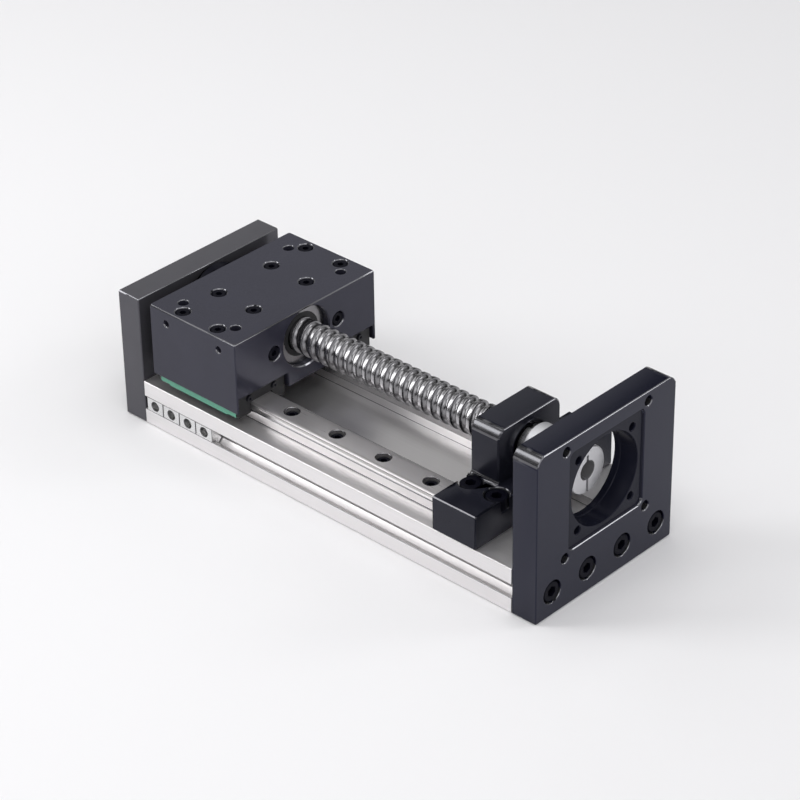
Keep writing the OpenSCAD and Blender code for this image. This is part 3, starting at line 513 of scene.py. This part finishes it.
def ring(name, x0, x1, inner, outer, rim):
    """A turned ring about the screw's axis, its rims chamfered."""
    deselect()
    bpy.ops.mesh.primitive_circle_add(vertices=TURNED_FACES, radius=outer, fill_type="NOTHING",
                                      location=(x0, 0, AXIS_Z), rotation=(0, math.pi / 2, 0))
    obj = bpy.context.object
    obj.name = name
    settle(obj)
    edit(obj)
    bpy.ops.mesh.select_all(action="SELECT")
    bpy.ops.mesh.extrude_region_move(TRANSFORM_OT_translate={"value": (x1 - x0, 0, 0)})
    bpy.ops.mesh.extrude_region_move()
    inwards = inner / outer
    bpy.ops.transform.resize(value=(1, inwards, inwards), center_override=(x1, 0, AXIS_Z))
    bpy.ops.mesh.extrude_region_move(TRANSFORM_OT_translate={"value": (x0 - x1, 0, 0)})
    pick_vertices(obj, lambda co: co.x < x0 + WELD)
    bpy.ops.mesh.bridge_edge_loops()
    close_up()
    bevel_edges(obj, rim)
    smooth(obj, 35)
    return obj


def join(name, pieces):
    """Joins the pieces into one object of that name."""
    deselect()
    for piece in pieces:
        piece.select_set(True)
    bpy.context.view_layer.objects.active = pieces[0]
    bpy.ops.object.join()
    obj = bpy.context.object
    obj.name = name
    return obj


def dress(obj, material, body, slot, *nodes):
    """Gives a finished piece its material and body, and hides the CAD nodes it stands for; slot is
    not used.
    """
    if obj.data.materials:
        obj.data.materials[0] = material
    else:
        obj.data.materials.append(material)
    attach(obj, body)
    if nodes:
        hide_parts(*nodes)


# ---------- ball screw ----------


# where the thread begins inside the far end, and where it ends
THREAD_INSET = 9.6 * MM
THREAD_END = 59 * MM
# the lands reach this far in from the outer surface, and lean less than this along X
LAND_DEPTH = 0.04 * MM
LAND_LEAN = 0.4


def thread_profile(sizes):
    """One lead of the thread's outline: half a land, the groove's arc and half a land."""
    deselect()
    bpy.ops.mesh.primitive_circle_add(vertices=GROOVE_FACES, radius=sizes.groove_radius,
                                      location=(0, 0, sizes.path_radius),
                                      rotation=(math.pi / 2, 0, 0))
    profile = bpy.context.object
    settle(profile)
    edit(profile)
    bpy.ops.mesh.select_all(action="SELECT")
    bpy.ops.mesh.bisect(plane_co=(0, 0, sizes.land_radius), plane_no=(0, 0, 1), clear_outer=True,
                        threshold=FINE)
    top = sizes.land_radius - WELD
    mesh = bmesh.from_edit_mesh(profile.data)
    half_land = sizes.lead / 2 - max(v.co.x for v in mesh.verts if v.co.z > top)
    for side in (-1, 1):
        pick_vertices(profile, lambda co: co.z > top and co.x * side > 0)
        bpy.ops.mesh.extrude_region_move(
            TRANSFORM_OT_translate={"value": (side * half_land, 0, 0)})
    pick_vertices(profile, lambda co: co.z > top and abs(co.x) < sizes.lead / 2 - WELD)
    bpy.ops.mesh.bevel(offset=sizes.edge, segments=4, affect="VERTICES")
    bpy.ops.object.mode_set(mode="OBJECT")
    return profile


def rolled_thread(sizes, x0, x1):
    """The thread swept along the screw, cut square at both ends and closed."""
    profile = thread_profile(sizes)
    # one spare turn before the first cut and two after the last
    first = math.floor((x0 - sizes.groove_start) / sizes.lead) - 1
    turns = math.ceil((x1 - x0) / sizes.lead) + 3
    sweep = profile.modifiers.new("sweep", "SCREW")
    sweep.axis = "X"
    sweep.screw_offset = sizes.lead
    sweep.iterations = turns
    sweep.steps = sizes.steps
    sweep.render_steps = sizes.steps
    sweep.use_merge_vertices = True
    sweep.merge_threshold = WELD
    apply_modifiers(profile)
    profile.rotation_euler = (-math.pi / 2, 0, 0)
    profile.location = (sizes.groove_start + first * sizes.lead, 0, AXIS_Z)
    settle(profile)
    edit(profile)
    for place, clear in ((x0, "clear_inner"), (x1, "clear_outer")):
        bpy.ops.mesh.select_all(action="SELECT")
        bpy.ops.mesh.bisect(plane_co=(place, 0, AXIS_Z), plane_no=(1, 0, 0), use_fill=True,
                            threshold=FINE, **{clear: True})
    close_up()
    return profile


class MODULE_OT_ball_screw(bpy.types.Operator):
    """Model the ball screw with its rolled thread and its turned ends"""

    bl_idname = "module.ball_screw"
    bl_label = "Ball screw"

    def execute(self, context):
        sizes = context.scene.module_screw
        low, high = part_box("ball_screw")
        screw = join("rolled_ball_screw", [
            rolled_thread(sizes, low.x + THREAD_INSET, THREAD_END),
            rod("far_journal", low.x, -99.5 * MM, radius=4 * MM, rim=0.4 * MM),
            rod("far_shoulder", -100 * MM, -98.5 * MM, radius=5.8 * MM, rim=0.2 * MM),
            rod("near_shoulder", 58 * MM, 62.5 * MM, radius=6 * MM, rim=0.2 * MM),
            rod("near_journal", 62 * MM, 77.3 * MM, radius=5 * MM, rim=0.2 * MM),
            rod("drive_journal", 77 * MM, high.x, radius=4 * MM, rim=0.4 * MM),
        ])
        smooth(screw, 35)
        dress(screw, finish("polished_steel"), "screw", "polished_steel", "ball_screw")
        # painted highlight: the lands take a lighter copy of the polished steel
        screw.data.materials.append(finish("ground_land"))
        land = sizes.land_radius - LAND_DEPTH
        for face in screw.data.polygons:
            if abs(face.normal.x) < LAND_LEAN and from_axis(face.center) > land:
                face.material_index = 1
        return {"FINISHED"}


# ---------- machined parts ----------


# the machined parts: node, body, and which of the edge sizes it has
MACHINED = (
    ("base_profile", "base", "extrusion"),
    ("end_plate", "base", "plates"),
    ("motor_plate", "base", "plates"),
    ("bearing_block", "base", "housing"),
    ("carriage_block", "carriage", "block"),
    ("ball_nut", "carriage", "nut"),
    ("coupling_screw_hub", "screw", "hubs"),
    ("coupling_motor_hub", "screw", "hubs"),
    ("t_nuts", "t_nuts", "hubs"),
    ("left_rail", "base", "rails"),
    ("right_rail", "base", "rails"),
)
HUBS = ("coupling_screw_hub", "coupling_motor_hub")
RAILS = ("left_rail", "right_rail")
FRAMES = ("left_runner_frame", "right_runner_frame")
# which of a deburred part's materials a face has: its coat, or its edges' finish
COAT, RIM = 0, 1
# the painted edge highlight goes only on edges that face up by at least this much, towards the
# lamps
FACES_UP = 0.25
# how much of a face's normal lies along an axis on rounded corners, on the bearing block's
# chamfers, on the countersinks of tapped holes and in the grooves under the rails' heads
CORNER_LEAN = (0.15, 0.99)
CHAMFER_LEAN = (0.2, 0.98)
COUNTERSINK_LEAN = (0.3, 0.95)
GROOVE_LEAN = (-0.99, -0.2)
# the motor plate's bore and pocket lie within this radius, and this far inside its two faces
BORE_REACH = 24 * MM
PLATE_BACK, PLATE_FRONT = 0.5 * MM, 0.4 * MM
HUB_BORE_REACH = 4.5 * MM
BLOCK_FOOT_HEIGHT = 15 * MM
COUNTERSINK_DEPTH = 1.2 * MM
# the nut's flange stands outside the carriage block, clear of its face
FLANGE_GAP = 0.05 * MM
# the runner frames are green this far in from their outer flanks; further in they are painted dark
# as shade under the carriage
FLANK_DEPTH = 0.9 * MM


def press_inside(piece, low, high):
    """Flattens whatever a crowded bevel pushed out of the part's own box back onto its faces."""
    edit(piece)
    for axis in range(3):
        for plane, way in ((low[axis], -1), (high[axis], 1)):
            bpy.ops.mesh.select_all(action="DESELECT")
            pick_vertices(piece, lambda co: (co[axis] - plane) * way > FINE)
            flat = [float(i != axis) for i in range(3)]
            place = [plane * (i == axis) for i in range(3)]
            bpy.ops.transform.resize(value=flat, center_override=place)
    bpy.ops.object.mode_set(mode="OBJECT")


def deburred(name, width, segments=ROUNDED, rim=None):
    """A copy of a CAD part with its sharp edges rounded or chamfered, and a rim finish on them."""
    piece = NODES[name].copy()
    piece.data = piece.data.copy()
    piece.name = name + "_deburred"
    piece.data.name = piece.name
    bpy.context.scene.collection.objects.link(piece)
    edit(piece)
    bpy.ops.mesh.select_all(action="SELECT")
    bpy.ops.mesh.remove_doubles(threshold=WELD)
    bpy.ops.mesh.dissolve_limited(angle_limit=math.radians(0.5))
    bpy.ops.object.mode_set(mode="OBJECT")
    if rim:
        piece.data.materials.append(rim)
    bevel_edges(piece, width, segments, clamp=False, material=RIM if rim else -1)
    press_inside(piece, *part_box(name))
    smooth(piece, 40)
    piece.modifiers.new("flat_faces", "WEIGHTED_NORMAL").keep_sharp = True
    apply_modifiers(piece)
    return piece


def paint_edge_highlights(piece, reach, rims):
    """Leaves the painted edge highlight on outer edges, and on rims if asked, only where they face
    up towards the lamps.
    """
    places = [vertex.co for vertex in piece.data.vertices]
    low = [min(co[i] for co in places) for i in range(3)]
    high = [max(co[i] for co in places) for i in range(3)]
    for face in piece.data.polygons:
        near = [min(c - a, b - c) < reach for c, a, b in zip(face.center, low, high)]
        edge = sum(near) >= 2 or rims and face.material_index == RIM
        face.material_index = RIM if edge and face.normal.z > FACES_UP else COAT


def leans(part, limits):
    """Whether a part of a face's normal lies between the limits."""
    return limits[0] < part < limits[1]


def paint(name, coat_name, test):
    """Gives the faces of a deburred part that pass the test a finish of their own."""
    piece = bpy.data.objects[name + "_deburred"]
    piece.data.materials.append(finish(coat_name))
    for face in piece.data.polygons:
        if test(face):
            face.material_index = len(piece.data.materials) - 1


def paint_nut():
    """Blackens the nut's flange."""
    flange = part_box("carriage_block")[0].x - FLANGE_GAP
    paint("ball_nut", "black_oxide", lambda face: face.center.x < flange)


def paint_hubs():
    """Gives the hubs' end faces a darker, glossier copy of the hub finish, and paints shade into
    their bores.
    """
    for name in HUBS:
        paint(name, "faced_coupling", lambda face: abs(face.normal.x) > 0.9)
        # painted shade in the hubs' bores
        paint(name, "bored_steel", lambda face: abs(face.normal.x) < 0.5 and
              from_axis(face.center) < HUB_BORE_REACH)


def paint_rails():
    """Gives the rails' flanks a darker, rougher copy of the rail steel, and paints shade into the
    grooves under their heads.
    """
    for name in RAILS:
        paint(name, "drawn_steel", lambda face: abs(face.normal.y) > 0.5 and
              face.material_index == COAT)
        # painted shade in the grooves under the rails' heads
        paint(name, "recess", lambda face: leans(face.normal.z, GROOVE_LEAN))


def paint_black_parts():
    """Paints highlights on the round corners and the fine edges, and paints shade in the motor
    plate's bore.
    """
    # painted highlight: a shinier band on the round corners of the motor plate and bearing block
    for name in ("motor_plate", "bearing_block"):
        paint(name, "rubbed_black", lambda face: face.material_index == COAT and
              leans(abs(face.normal.y), CORNER_LEAN) and leans(face.normal.z, CORNER_LEAN))
    low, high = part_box("motor_plate")
    # painted shade on the walls of the motor plate's bore and holes
    paint("motor_plate", "recess", lambda face:
          low.x + PLATE_BACK < face.center.x < high.x - PLATE_FRONT and
          (face.material_index == RIM or from_axis(face.center) < BORE_REACH))
    foot_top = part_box("bearing_block")[0].z + BLOCK_FOOT_HEIGHT
    # painted highlight on the bearing block's front chamfers above the foot
    paint("bearing_block", "burnished_edge", lambda face: face.center.z > foot_top and
          face.normal.x > CHAMFER_LEAN[0] and leans(face.normal.z, CHAMFER_LEAN))
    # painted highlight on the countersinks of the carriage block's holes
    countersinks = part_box("carriage_block")[1].z - COUNTERSINK_DEPTH
    paint("carriage_block", "burnished_edge", lambda face: face.material_index == COAT and
          face.center.z > countersinks and leans(face.normal.z, COUNTERSINK_LEAN))


def make_frames(width):
    """Rounds the runner frames, leaves them green on their outer flanks and paints them dark
    further in, as painted shade under the carriage.
    """
    for name in FRAMES:
        piece = deburred(name, width)
        dress(piece, NODES[name].data.materials[0], "carriage", "green_plastic", name)
        flank = max(abs(vertex.co.y) for vertex in piece.data.vertices) - FLANK_DEPTH
        # painted shade: the frames' inner parts take the dark seal rubber
        paint(name, "seal_rubber", lambda face: abs(face.center.y) < flank)


class MODULE_OT_machined_parts(bpy.types.Operator):
    """Deburr the machined parts and the runner frames, and give their faces their finishes"""

    bl_idname = "module.machined_parts"
    bl_label = "Machined parts"

    def execute(self, context):
        edges = context.scene.module_edges
        for name, body, size in MACHINED:
            black = SLOTS[name] == "black_anodised"
            # the black parts' bevels take the painted edge highlight
            rim = finish("burnished_edge" if black else "polished_steel")
            piece = deburred(name, getattr(edges, size), CHAMFERED if black else ROUNDED, rim)
            dress(piece, NODES[name].data.materials[0], body, SLOTS[name], name)
            if black:
                paint_edge_highlights(piece, edges.reach, rims=name != "bearing_block")
        paint_nut()
        paint_hubs()
        paint_rails()
        paint_black_parts()
        make_frames(edges.frames)
        return {"FINISHED"}


# ---------- bearing shield ----------


# the shield's two faces, behind the face of the inner rings
SHIELD_FRONT, SHIELD_BACK = 0.2 * MM, 0.5 * MM
# its play round the inner rings, the outer ring's wall and the chamfer of its rims
SHIELD_PLAY, OUTER_RING_WALL, SHIELD_RIM = 0.3 * MM, 2.2 * MM, 0.05 * MM


class MODULE_OT_bearing_shields(bpy.types.Operator):
    """Close the fixed bearing with its shield on the coupling's side"""

    bl_idname = "module.bearing_shields"
    bl_label = "Bearing shields"

    def execute(self, context):
        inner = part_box("fixed_bearing_inner_rings")[1]
        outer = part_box("fixed_bearing_outer_rings")[1]
        shield = ring("fixed_bearing_shield", inner.x - SHIELD_BACK, inner.x - SHIELD_FRONT,
                      inner=inner.z - AXIS_Z + SHIELD_PLAY,
                      outer=outer.z - AXIS_Z - OUTER_RING_WALL, rim=SHIELD_RIM)
        dress(shield, finish("black_oxide"), "base", "black_steel")
        return {"FINISHED"}


# ---------- finishes ----------


class MODULE_OT_finishes(bpy.types.Operator):
    """Give every part of the module its finish"""

    bl_idname = "module.finishes"
    bl_label = "Finishes"

    def execute(self, context):
        finishes = context.scene.module_finishes
        # lighter and darker copies of the black anodising, one for each black part: painted light
        # and shade
        for name, gloss, sheen in BLACK_SHADED_COPIES:
            coat(name, black_anodised(finishes, name + "_anodised", getattr(finishes, name),
                                      gloss, sheen))
        coat_slot("clear_anodised", clear_anodised(finishes))
        coat_slot("ground_steel", ground_steel(finishes))
        coat_slot("polished_steel", polished_steel(finishes))
        coat_slot("black_steel", black_oxide(finishes, "black_oxide", gloss=0.07))
        coat_slot("green_plastic", green_plastic(finishes))
        coat_slot("seal_rubber", matt_rubber("seal_rubber", finishes.rubber))
        coat_slot("spider_rubber", matt_rubber("spider_rubber", finishes.spider))
        coat_slot("nickel_steel", brushed_metal("nickel_plated", finishes.nickel,
                                                roughness=0.28, lines=0.1, stretch=EVEN))
        coat("seal_screws", black_oxide(finishes, "oiled_black_steel", gloss=0.4))
        hub = turned_metal("bright_coupling", shade(finishes.coupling, 0.78),
                           roughness=0.55, metallic=0.85)
        for name in HUBS:
            coat(name, hub)
        # finishes for single faces, which the pieces' operators paint
        # painted highlights on the black parts' edges and round corners
        burnished_edge(finishes, "burnished_edge", gain=1.0, rough=0.13)
        burnished_edge(finishes, "rubbed_black", gain=0.6, rough=0.17)
        # painted shade for bores, holes and grooves
        black_anodised(finishes, "recess", finishes.recess, 0.14, RECESS_SHADE_SHEEN)
        turned_metal("faced_coupling", shade(finishes.coupling, 0.68),
                     roughness=0.3, metallic=0.85)
        # painted shade for the hubs' bores
        turned_metal("bored_steel", shade(finishes.polished, 1.15), roughness=0.5, metallic=0.4)
        # a lighter copy of the polished steel for the screw's lands: a painted highlight
        turned_metal("ground_land", shade(finishes.polished, 1.7), roughness=0.25)
        brushed_metal("drawn_steel", shade(finishes.rail, 0.82),
                      roughness=0.38, lines=0.2, metallic=0.9)
        return {"FINISHED"}


# ---------- studio ----------


# soft boxes turned towards the middle of the floor: name, place, width and height, power
LAMPS = (
    ("left_front_strip", (-0.79, -0.71, 0.74), (0.42, 1.1), 6.7),
    ("left_box", (-1.0, -0.1, 0.8), (0.8, 0.8), 2.0),
    ("front_box", (0.1, -1.2, 0.9), (0.9, 0.9), 2.6),
    ("front_right_box", (0.9, -0.9, 0.9), (0.8, 0.8), 3.1),
    ("back_box", (0.1, 1.2, 0.9), (1.0, 1.0), 1.3),
    ("back_left_box", (-1.12, 0.97, 0.82), (0.75, 0.75), 1.15),
    ("back_edge_lamp", (0.77, 0.86, 0.87), (0.35, 0.35), 1.7),
    ("top_box", (0.0, 0.0, 1.4), (1.2, 1.2), 8.8),
)
# the room is dark from -X to the middle, and grows light towards +X
ROOM_DARK, ROOM_LIGHT = (0.0, 0.0, 0.0), (1.09, 1.09, 1.12)
FLOOR_SIZE = 12
FLOOR_GAP = 0.2 * MM
SENSOR_WIDTH = 36
VIEW_DEPTH = 20


def soft_box(name, place, size, power):
    """An area lamp at a place, turned towards the middle of the floor."""
    data = bpy.data.lights.new(name, "AREA")
    data.shape = "RECTANGLE"
    data.size, data.size_y = size
    data.energy = power
    lamp = bpy.data.objects.new(name, data)
    lamp.location = place
    lamp.rotation_euler = (Vector() - Vector(place)).to_track_quat("-Z", "Y").to_euler()
    bpy.context.scene.collection.objects.link(lamp)


def soft_room():
    """A world that lights the module softly from its +X side."""
    world = bpy.data.worlds.new("soft_room")
    world.use_nodes = True
    tree = world.node_tree
    background = next(n for n in tree.nodes if n.type == "BACKGROUND")
    where = tree.nodes.new("ShaderNodeTexCoord")
    split = tree.nodes.new("ShaderNodeSeparateXYZ")
    tree.links.new(where.outputs["Generated"], split.inputs["Vector"])
    tree.links.new(tint(tree, split.outputs["X"], ROOM_DARK, ROOM_LIGHT),
                   background.inputs["Color"])
    bpy.context.scene.world = world


def set_camera(settings):
    """Stands the camera at its place, turned and rolled as the settings say."""
    camera = bpy.data.cameras.new("camera")
    camera.lens = settings.lens
    camera.sensor_width = SENSOR_WIDTH
    camera.clip_end = VIEW_DEPTH
    shot = bpy.data.objects.new("camera", camera)
    turn = Matrix.Rotation(settings.azimuth, 4, "Z")
    tip = Matrix.Rotation(math.pi / 2 - settings.elevation, 4, "X")
    roll = Matrix.Rotation(settings.roll, 4, "Z")
    shot.matrix_world = Matrix.Translation(settings.location) @ (turn @ tip) @ roll
    bpy.context.scene.collection.objects.link(shot)
    bpy.context.scene.camera = shot


class MODULE_OT_studio(bpy.types.Operator):
    """Set up the floor, the lights and the camera"""

    bl_idname = "module.studio"
    bl_label = "Studio"

    def execute(self, context):
        settings = context.scene.module_studio
        deselect()
        floor_z = CAD_BOX[0][2] - FLOOR_GAP
        bpy.ops.mesh.primitive_plane_add(size=FLOOR_SIZE, location=(0, 0, floor_z))
        floor = context.object
        floor.name = "paper_floor"
        settle(floor)
        floor.data.materials.append(floor_material(settings))
        soft_room()
        for lamp in LAMPS:
            soft_box(*lamp)
        set_camera(settings)
        context.scene.view_settings.view_transform = "Standard"
        return {"FINISHED"}


# ---------- panel and registration ----------


# the steps, in the order in which the module is made
OPERATORS = (
    MODULE_OT_studio,
    MODULE_OT_finishes,
    MODULE_OT_ball_screw,
    MODULE_OT_machined_parts,
    MODULE_OT_bearing_shields,
)
GROUPS = {
    "module_finishes": ModuleFinishes,
    "module_screw": ScrewSizes,
    "module_edges": EdgeSizes,
    "module_studio": StudioSettings,
}


class MODULE_PT_looks(bpy.types.Panel):
    """The module's settings and the steps that build it"""

    bl_idname = "MODULE_PT_looks"
    bl_label = "Ball Screw Module"
    bl_space_type = "VIEW_3D"
    bl_region_type = "UI"
    bl_category = "Module"

    def draw(self, context):
        for name, group in GROUPS.items():
            box = self.layout.box()
            box.label(text=group.__doc__)
            for key in group.__annotations__:
                box.prop(getattr(context.scene, name), key)
        for operator in OPERATORS:
            self.layout.operator(operator.bl_idname)


CLASSES = (*GROUPS.values(), *OPERATORS, MODULE_PT_looks)


def register():
    """Adds the settings, the steps and the panel."""
    for item in CLASSES:
        bpy.utils.register_class(item)
    for name, group in GROUPS.items():
        setattr(bpy.types.Scene, name, PointerProperty(type=group))


def unregister():
    """Takes them away again."""
    for name in GROUPS:
        delattr(bpy.types.Scene, name)
    for item in reversed(CLASSES):
        bpy.utils.unregister_class(item)


def main():
    """Registers the add-on and runs its steps."""
    register()
    for operator in OPERATORS:
        group, step = operator.bl_idname.split(".")
        getattr(getattr(bpy.ops, group), step)()


if __name__ == "__main__":
    main()
